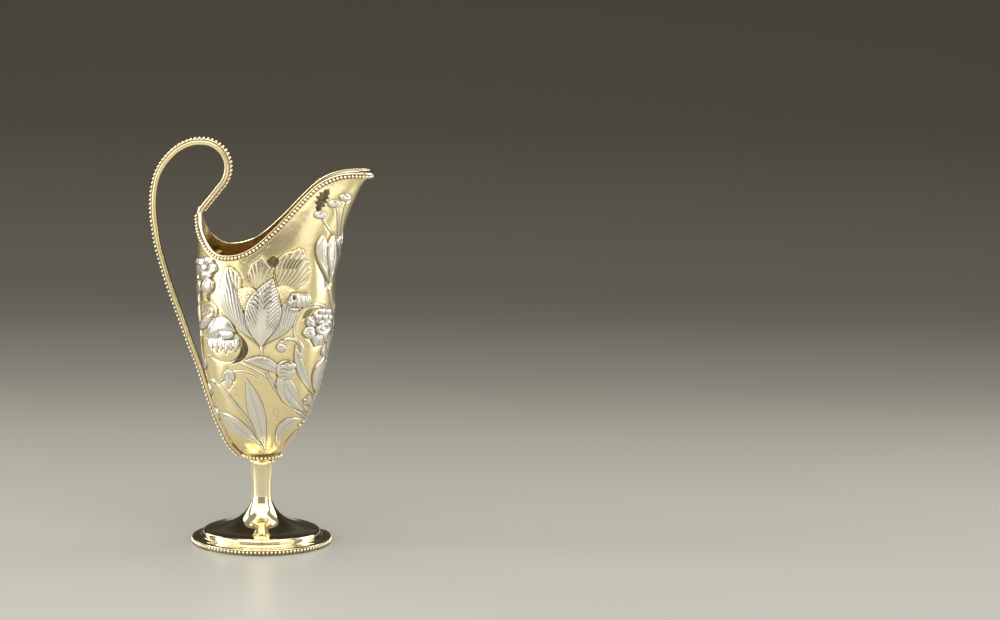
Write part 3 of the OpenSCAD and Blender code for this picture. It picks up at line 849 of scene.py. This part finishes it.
# ---------------------------------------------------------------- bowl
def bowl():
    NH, NV = ((480, 600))
    U = np.linspace(0, 180, NH + 1)
    T = np.linspace(0, 1, NV)
    RZ = rim_z(U)
    Z = BZ + (RZ[None, :] - BZ) * T[:, None]
    UU = np.broadcast_to(U, Z.shape)
    c = chasing(U, Z)
    edge = sstep((RZ[None, :] - Z) / 1.4 - 1.2) * sstep((Z - BZ) / 2.0 - 0.3)
    H = c.H * edge
    P = surf(UU, Z)
    du, dz = surf(UU + 0.4, Z) - surf(UU - 0.4, Z), surf(UU, Z + 0.3) - surf(UU, Z - 0.3)
    n = unit(np.cross(du, dz))
    outer = P + n * H[..., None]
    full = np.concatenate([outer, (outer * [1, -1, 1])[:, -2:0:-1]], 1)
    # colour attribute channels: silver, dark (tarnish and painted shade), stipple
    A = np.stack([c.A * edge, c.D * edge, c.T * edge, np.ones_like(H)], -1)
    A = np.concatenate([A, A[:, -2:0:-1]], 1)
    NU = full.shape[1]
    # the inside, with the chasing showing faintly in reverse
    NI = NV // 3
    Ti = np.linspace(1, 0, NI)
    bi = BZ + 1.4
    Zi = bi + (RZ[None, :] - bi) * Ti[:, None]
    k = np.clip(((Zi - BZ) / (RZ[None, :] - BZ) * (NV - 1)), 0, NV - 1).astype(int)
    Hs = H.copy()
    for _ in range(3):
        Hs[1:-1, 1:-1] = (Hs[1:-1, 1:-1] * 2 + Hs[:-2, 1:-1] + Hs[2:, 1:-1]
                          + Hs[1:-1, :-2] + Hs[1:-1, 2:]) / 6
    jj = np.broadcast_to(np.arange(NH + 1), Zi.shape)
    Ui = np.broadcast_to(U, Zi.shape)
    Pi = surf(Ui, Zi, WALL)
    ni = unit(np.cross(surf(Ui + 0.4, Zi) - surf(Ui - 0.4, Zi), surf(Ui, Zi + 0.3) - surf(Ui, Zi - 0.3)))
    Pi = Pi + ni * (0.45 * np.maximum(Hs[k, jj], 0))[..., None]
    inner = np.concatenate([Pi, (Pi * [1, -1, 1])[:, -2:0:-1]], 1)
    V = np.concatenate([full.reshape(-1, 3), inner.reshape(-1, 3)])
    F = [list(f) for f in grid_faces(NV + NI, NU, flip=True)]
    m = NV + NI
    F += [[j for j in range(NU)], [(m - 1) * NU + j for j in range(NU)][::-1]]
    ob = mesh_obj("chased_bowl", V, F, [GILT, INSIDE])
    col = np.zeros((len(V), 4), np.float32)
    col[:, 3] = 1
    col[:NV * NU] = A.reshape(-1, 4)
    at_ = ob.data.color_attributes.new("chasing", "FLOAT_COLOR", "POINT")
    at_.data.foreach_set("color", col.ravel())
    mi = np.zeros(len(F), np.int32)
    mi[(NV - 1) * NU:] = 1
    mi[-2] = 0
    ob.data.polygons.foreach_set("material_index", mi)
    return ob


def oval(w, t, n=16):
    a = np.arange(n) * 2 * np.pi / n
    return np.stack([w / 2 * np.cos(a), t / 2 * np.sin(a)], -1)


finish_piece(bowl(), "bowl")


def beads(name, C, A, B, rad, mat, stretch=1.0):
    """A row of beads at points C; A points out, B across the row; stretch is along B. rad may be a list."""
    nu, nv = ((14, 9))
    th = np.arange(nu) * 2 * np.pi / nu
    ph = np.linspace(0, np.pi, nv)[1:-1]
    S = np.array([[0, 0, 1]]
                 + [[math.sin(q) * math.cos(a), math.sin(q) * math.sin(a), math.cos(q)]
                    for q in ph for a in th]
                 + [[0, 0, -1]])
    j = np.arange(nu)
    F = [[0, 1 + i, 1 + (i + 1) % nu] for i in j]
    for i in range(len(ph) - 1):
        F += [[1 + i * nu + q, 1 + (i + 1) * nu + q,
               1 + (i + 1) * nu + (q + 1) % nu, 1 + i * nu + (q + 1) % nu] for q in j]
    last = len(S) - 1
    F += [[last, last - nu + (q + 1) % nu, last - nu + q] for q in j]
    V, FF = [], []
    T = unit(np.cross(A, B))
    for i in range(len(C)):
        r = rad[i] if hasattr(rad, "__len__") else rad
        V.append(C[i] + r * (S[:, 2:3] * A[i] + S[:, 0:1] * B[i] * stretch + S[:, 1:2] * T[i]))
        FF += [[q + i * len(S) for q in f] for f in F]
    return recalc(mesh_obj(name, np.vstack(V), FF, mat))


def even(C, pitch, *more):
    """Points C resampled at an even pitch."""
    d = np.r_[0, np.cumsum(np.linalg.norm(np.diff(C, axis=0), axis=1))]
    n = int(round(d[-1] / pitch))
    q = (np.arange(n) + 0.5) * d[-1] / n
    return [np.stack([np.interp(q, d, X[:, k]) for k in range(3)], -1) for X in (C, *more)]


PITCH = 1.6


def slat(w, t, bv=0.12):
    """Bar section w across and t out, with its corners taken off."""
    return np.array([[-w / 2, -t / 2 + bv], [-w / 2 + bv, -t / 2], [w / 2 - bv, -t / 2], [w / 2, -t / 2 + bv],
                     [w / 2, t / 2 - bv], [w / 2 - bv, t / 2], [-w / 2 + bv, t / 2], [-w / 2, t / 2 - bv]])


def flat(ob, angle=32):
    ob = recalc(ob)
    ob.data.set_sharp_from_angle(angle=math.radians(angle))
    return ob


# ---------------------------------------------------------------- mouth
u = np.linspace(-173, 173, 780)
p, t, n, s = rim_frame(u)
slim = (1 - 0.5 * sstep((np.abs(u) - 118) / 35))[:, None]
finish_piece(recalc(sweep("mouth_edge_wire", p - n * 0.7 * slim + s * 0.1, n * slim, s,
                          oval(EDGE_W + 0.6, EDGE_T), EDGE)),
             "rim_edge_band")
bc = p + n * (BEAD / 2 - 0.2 + 0.5 * sstep((np.abs(u) - 138) / 20))[:, None] + s * (-0.35 - BEAD / 2)
# dark strip behind the beads: painted shade in the gaps, with tarnish
finish_piece(flat(sweep("mouth_bead_bed", bc - n * 0.38, s, n, slat(1.75, 0.34), SHADE_TARNISH_BEDM)),
             "rim_bead_wire")
finish_piece(recalc(sweep("mouth_bead_line", bc - n * 0.3 - s * 0.98, s, n, oval(0.34, 0.42, 8), EDGE)),
             "rim_bead_wire")
cc, nn, ss = even(bc, PITCH, n, s)
size = 0.58 + 0.12 * np.exp(-((np.arange(len(cc)) - len(cc) / 2) / 5.0) ** 2)
finish_piece(beads("mouth_beads", cc, unit(nn), unit(ss), size, BEADM, 1.12), "rim_bead_wire")

# ---------------------------------------------------------------- handle
H = cat(HL, 8)
H = np.vstack([H, H[-1] + unit(H[-1] - H[-3]) * np.array([[0.5], [1.0], [1.5]])])
HC = np.stack([H[:, 0], np.zeros(len(H)), H[:, 1]], -1)
ht = unit(np.gradient(HC, axis=0))
hn = np.stack([ht[:, 2], np.zeros(len(H)), -ht[:, 0]], -1)
hy = np.tile([0.0, 1.0, 0.0], (len(H), 1))
kq = np.linspace(0, 1, len(H))[:, None]
KW, KT = 1 - 0.35 * kq, 1.05 - 0.4 * kq
finish_piece(flat(sweep("handle_strap_bent", HC, hy * KW, hn * KT,
                        slat(STRAP_W, STRAP_T, 0.3), STRAPM), 50), "handle_strap")
for side, tag in ((-1, "left"), (1, "right")):
    e = slice(6, -1)
    A, Y = hn[e], hy[e]
    C = HC[e] + Y * side * (STRAP_W / 2 * KW[e] - 0.5) + A * (STRAP_T / 2 * KT[e] + 0.22)
    # dark strip behind the beads: painted shade in the gaps, with tarnish
    finish_piece(flat(sweep("handle_bead_bed_" + tag, C - A * 0.2, Y, A, slat(1.0, 0.3, 0.08), SHADE_TARNISH_BEDM)),
                 "handle_bead_wire_" + tag)
    finish_piece(recalc(sweep("handle_bead_line_" + tag, C - A * 0.2 - Y * side * 0.72, Y, A,
                              oval(0.32, 0.4, 8), STRAPM)),
                 "handle_bead_wire_" + tag)
    C, A = even(C + A * 0.22, 1.7, A)
    B = np.tile([0.0, 1.0, 0.0], (len(C), 1))
    finish_piece(beads("handle_beads_" + tag, C, unit(A), B, 0.52, BEADM),
                 "handle_bead_wire_" + tag)
# bright line let in down each edge of the strap
for side in (-1, 1):
    C = HC + hy * side * (STRAP_W / 2 * KW + 0.02) + hn * 0.28 * KT
    finish_piece(recalc(sweep("handle_edge_thread_" + ("right" if side > 0 else "left"), C, hy, hn,
                              oval(0.3, 0.34, 8), EDGE)), None)


# ---------------------------------------------------------------- turned pieces
def turned(name, prof, mat, node, sharp=32):
    finish_piece(flat(revolve(name, prof, mat, 240), sharp), node)


def hoop(name, R, z, w, h, mat, node, n=12):
    a = np.arange(n) * 2 * np.pi / n
    turned(name, np.stack([R + w / 2 * np.cos(a), z + h / 2 * np.sin(a)], -1), mat, node, 80)


def ring_beads(name, R, z, count, rad, stretch, node, tilt=0.0):
    a = (np.arange(count) + 0.5) * 2 * np.pi / count
    k, l = math.cos(math.radians(tilt)), math.sin(math.radians(tilt))
    C = np.stack([R * np.cos(a), R * np.sin(a), np.full(count, z)], -1)
    A = np.stack([k * np.cos(a), k * np.sin(a), np.full(count, l)], -1)
    B = np.stack([-l * np.cos(a), -l * np.sin(a), np.full(count, k)], -1)
    finish_piece(beads(name, C, A, B, rad, BEADM, stretch), node)


def inward(P, d):
    """Curve P moved d to its left."""
    t = unit(np.gradient(P, axis=0))
    return P + d * np.stack([-t[:, 1], t[:, 0]], -1)


COLLAR = 7.45
neck = cat([[4.42, 16.1], [4.05, 18.2], [3.92, 20.1], [4.02, 23.7],
            [4.35, 27.8], [4.8, 30.6], [5.35, 32.4], [5.95, 33.5]], 10)
turned("stem_column", np.vstack([[[1.4, 15.6], [4.5, 15.6]], neck, [[6.4, 34.0], [COLLAR - 0.6, 34.3],
                                 [COLLAR - 0.6, 35.3], [1.4, 35.3]]]), STEMM, "stem")
hoop("stem_moulding", 5.75, 33.35, 0.5, 0.5, STEMM, "stem_moulding_ring")
hoop("stem_knop", 4.36, 16.0, 0.36, 0.5, STEMM, "knop_ring")
turned("bowl_boss_disc", [[1.4, 35.3], [COLLAR - 0.9, 35.3], [COLLAR - 0.6, 36.9], [1.4, 36.9]],
       SHADE_TARNISH_BEDM, "bowl_boss")
# dark bed behind the collar beads: painted shade in the gaps, with tarnish
turned("collar_bed", [[COLLAR - 0.6, 34.5], [COLLAR, 34.5], [COLLAR + 0.12, 34.7],
                      [COLLAR + 0.12, 35.9], [COLLAR, 36.42], [COLLAR - 0.6, 36.42]],
       SHADE_TARNISH_BEDM, "collar_bead_wire")
ring_beads("collar_beads", COLLAR + 0.2, 35.2, 31, 0.56, 1.12, "collar_bead_wire")
dome = cat([[23.4, 3.3], [23.55, 4.2], [22.9, 5.2], [20.6, 5.95], [17, 6.6],
            [13.2, 7.7], [10, 9.3], [7.5, 11.3], [5.75, 13.5], [4.5, 16.0]], 9)
din = inward(dome, 1.2)[4:]
din[:, 0] = np.maximum(din[:, 0], 3.0)
turned("foot_dome_shell", np.vstack([dome, din[::-1], [[22.2, 3.3]]]), FOOTM, "foot_dome")
turned("foot_plate_moulding",
       np.vstack([[[21.6, 1.1], [27.3, 1.1]],
                  cat([[27.5, 1.5], [27.4, 2.0], [26.6, 2.4], [25.4, 2.5], [24.4, 2.75], [24.0, 3.2],
                       [23.3, 3.5]], 6),
                  [[22.3, 3.4], [22.1, 2.4], [21.6, 2.2]]]), FOOTM, "foot_plate")
# dark bed behind the foot beads: painted shade in the gaps, with tarnish
turned("foot_bead_bed", [[26.9, 0.35], [27.55, 0.35], [27.75, 0.6],
                         [27.75, 1.7], [27.55, 1.95], [26.9, 1.95]],
       SHADE_TARNISH_BEDM, "foot_bead_wire")
hoop("foot_bead_line", 27.6, 2.05, 0.6, 0.4, FOOTM, "foot_bead_wire")
ring_beads("foot_beads", 27.72, 1.15, 109, 0.56, 1.22, "foot_bead_wire")
turned("foot_base_ring_flat", [[24.4, .15], [24.6, 0], [26.9, 0], [27.25, .2],
                               [27.25, .5], [26.3, 1.1], [24.4, 1.1]],
       FOOTM, "foot_base_ring")


# ---------------------------------------------------------------- handle plates
def pad(name, centre, ax, ay, az, mat, node, slot):
    """Soft-cornered plate: half sizes ax (along), ay (across), az (through) given as vectors."""
    nu, nv = 40, 20
    th, ph = np.arange(nu) * 2 * np.pi / nu, np.linspace(-np.pi / 2, np.pi / 2, nv)
    def pw(x, e):
        return np.sign(x) * np.abs(x) ** e
    cx = pw(np.cos(th), 0.35)[None, :] * pw(np.cos(ph), 0.4)[:, None]
    cy = pw(np.sin(th), 0.35)[None, :] * pw(np.cos(ph), 0.4)[:, None]
    cz = np.broadcast_to(pw(np.sin(ph), 0.6)[:, None], cx.shape)
    V = (np.asarray(centre) + cx[1:-1, :, None] * ax + cy[1:-1, :, None] * ay
         + cz[1:-1, :, None] * az).reshape(-1, 3)
    V = np.vstack([V, centre - np.asarray(az), centre + np.asarray(az)])
    m = nv - 2
    F = [list(f) for f in grid_faces(m, nu)]
    k = m * nu
    F += ([[k, (j + 1) % nu, j] for j in range(nu)]
          + [[k + 1, (m - 1) * nu + j, (m - 1) * nu + (j + 1) % nu] for j in range(nu)])
    finish_piece(recalc(mesh_obj(name, V, F, mat)), node)


k, l = math.cos(math.radians(8)), math.sin(math.radians(8))
pad("handle_upper_tab", (-25.4, 0, 131.4), 4.2 * np.array([l, 0, k]),
    2.8 * np.array([0, 1, 0]), 0.85 * np.array([k, 0, -l]), STRAPM,
    "handle_upper_plate", "strap_gilt")
k, l = math.cos(math.radians(55)), math.sin(math.radians(55))
pad("handle_lower_tab", (-12.9, 0, 41.2), 1.75 * np.array([k, 0, -l]),
    1.75 * np.array([0, 1, 0]), 0.9 * np.array([l, 0, k]), STRAPM,
    "handle_lower_pad", "strap_gilt")

# ---------------------------------------------------------------- stage, camera, light
def area(name, loc, target, size, size_y, power, col=(1, 1, 1)):
    L = bpy.data.lights.new(name, "AREA")
    L.shape = "RECTANGLE"
    L.size, L.size_y, L.energy, L.color = size, size_y, power, col
    o = bpy.data.objects.new(name, L)
    o.location = loc
    o.rotation_euler = (Vector(target) - Vector(loc)).to_track_quat("-Z", "Y").to_euler()
    o.visible_camera = False
    bpy.context.scene.collection.objects.link(o)
    return o


def paper(name):
    """Paper whose colour darkens as it goes back and up: painted shade for the light falling off across the
    backdrop.
    """
    m = bpy.data.materials.new(name)
    m.use_nodes = True
    N, Lk = m.node_tree.nodes, m.node_tree.links
    bs = N["Principled BSDF"]
    bs.inputs["Roughness"].default_value = 0.34
    bs.inputs["Specular IOR Level"].default_value = 0.25
    tc = N.new("ShaderNodeTexCoord")
    sep = N.new("ShaderNodeSeparateXYZ")
    Lk.new(tc.outputs["Object"], sep.inputs[0])
    add = N.new("ShaderNodeMath")
    add.operation = "MULTIPLY_ADD"
    add.inputs[1].default_value = 1.6
    Lk.new(sep.outputs[2], add.inputs[0])
    Lk.new(sep.outputs[1], add.inputs[2])
    rg = N.new("ShaderNodeMapRange")
    rg.inputs[1].default_value = -0.4
    rg.inputs[2].default_value = 1.6
    Lk.new(add.outputs[0], rg.inputs[0])
    cr = N.new("ShaderNodeValToRGB")
    Lk.new(rg.outputs[0], cr.inputs[0])
    stops = [(0.0, 0.7, 0.98, 0.89), (0.06, 0.64, 0.98, 0.89), (0.13, 0.42, 0.98, 0.89),
             (0.19, 0.395, 0.98, 0.88), (0.25, 0.36, 0.98, 0.87),
             (0.31, 0.309, 0.98, 0.85), (0.39, 0.204, 0.97, 0.83), (0.5, 0.130, 0.95, 0.82),
             (0.61, 0.104, 0.93, 0.73), (0.75, 0.060, 0.90, 0.70),
             (1.0, 0.035, 0.89, 0.70)]
    el = cr.color_ramp.elements
    while len(el) < len(stops):
        el.new(0.5)
    for e, (q, v, g, b) in zip(el, stops):
        e.position = q
        e.color = (v, v * g, v * b, 1)
    Lk.new(cr.outputs[0], bs.inputs["Base Color"])
    return m


ang = np.linspace(0, math.pi / 2, 24)[1:]
sw = ([(-3.0, 0.0), (0.7, 0.0)]
      + [(0.7 + 0.5 * math.sin(q), 0.5 - 0.5 * math.cos(q)) for q in ang] + [(1.2, 1.7)])
SV = [[x * 1000, y * 1000, z * 1000] for (y, z) in sw for x in (-3.0, 3.0)]
SF = [[2 * i, 2 * i + 1, 2 * i + 3, 2 * i + 2] for i in range(len(sw) - 1)]
mesh_obj("paper_sweep", SV, SF, paper("floor_paper"))

DARKM = metal("dark_card", (0.02, 0.02, 0.02), 0.6)
card = mesh_obj("camera_card", [[78, -1300, 60], [128, -1300, 60], [128, -1300, 1100], [78, -1300, 1100]],
                [[0, 1, 2, 3]], DARKM)
card.visible_camera = False


def soft(name, loc, target, w, h, radiance, col=(1, 1, 1)):
    """Soft light w by h metres that looks this bright."""
    return area(name, loc, target, w, h, 0.80 * radiance * math.pi * w * h, col)


soft("over", (0.05, 0.0, 1.0), (0.0, 0.0, 0.0), 1.0, 0.8, 3.4, (1.0, 0.985, 0.95))
soft("left_strip", (-0.85, 0.62, 0.5), (0, 0, 0.08), 0.35, 1.0, 2.4)
soft("right_strip", (0.95, 0.55, 0.5), (0, 0, 0.08), 0.35, 1.0, 2.4)
soft("front_top", (0.0, -0.74, 1.2), (0, 0, 0.05), 3.6, 0.6, 1.35, (1.0, 0.98, 0.94))
soft("left_low", (-0.55, -0.05, 0.15), (0, 0, 0.1), 0.2, 0.3, 3.6)
soft("right_low", (0.56, 0.12, 0.15), (0, 0, 0.1), 0.2, 0.3, 2.8)
soft("left_side", (-1.1, -0.08, 0.5), (0, 0, 0.1), 0.42, 1.1, 5.0)
soft("right_side", (1.08, 0.2, 0.5), (0, 0, 0.1), 0.34, 1.0, 3.6)
soft("left_wide", (-1.2, -0.75, 0.6), (0, 0, 0.08), 1.0, 1.3, 1.5)
soft("right_wide", (1.25, -0.85, 0.6), (0, 0, 0.08), 0.9, 1.3, 1.15)
soft("front_high", (0.0, -1.5, 1.35), (0, 0, 0.05), 2.6, 1.1, 1.5, (1.0, 0.98, 0.94))
w = bpy.data.worlds.new("room")
w.use_nodes = True
w.node_tree.nodes["Background"].inputs[0].default_value = (0.62, 0.6, 0.55, 1)
w.node_tree.nodes["Background"].inputs[1].default_value = 0.55
bpy.context.scene.world = w

cam = bpy.data.cameras.new("camera")
cam.lens = 114.9
cam.sensor_width = 36
co = bpy.data.objects.new("camera", cam)
CAMERA_SIDE, CAMERA_BACK, CAMERA_UP = 0.0946, 1.258, 0.286
co.location = (CAMERA_SIDE, -CAMERA_BACK, CAMERA_UP)
PITCHD, YAW, ROLL = 8.61, 0.0, 0.9
R = (Matrix.Rotation(math.radians(-YAW), 4, "Z") @ Matrix.Rotation(math.radians(90 - PITCHD), 4, "X")
     @ Matrix.Rotation(math.radians(ROLL), 4, "Z"))
co.matrix_world = Matrix.Translation(co.location) @ R
bpy.context.scene.collection.objects.link(co)
bpy.context.scene.camera = co
bpy.context.scene.view_settings.view_transform = "Standard"
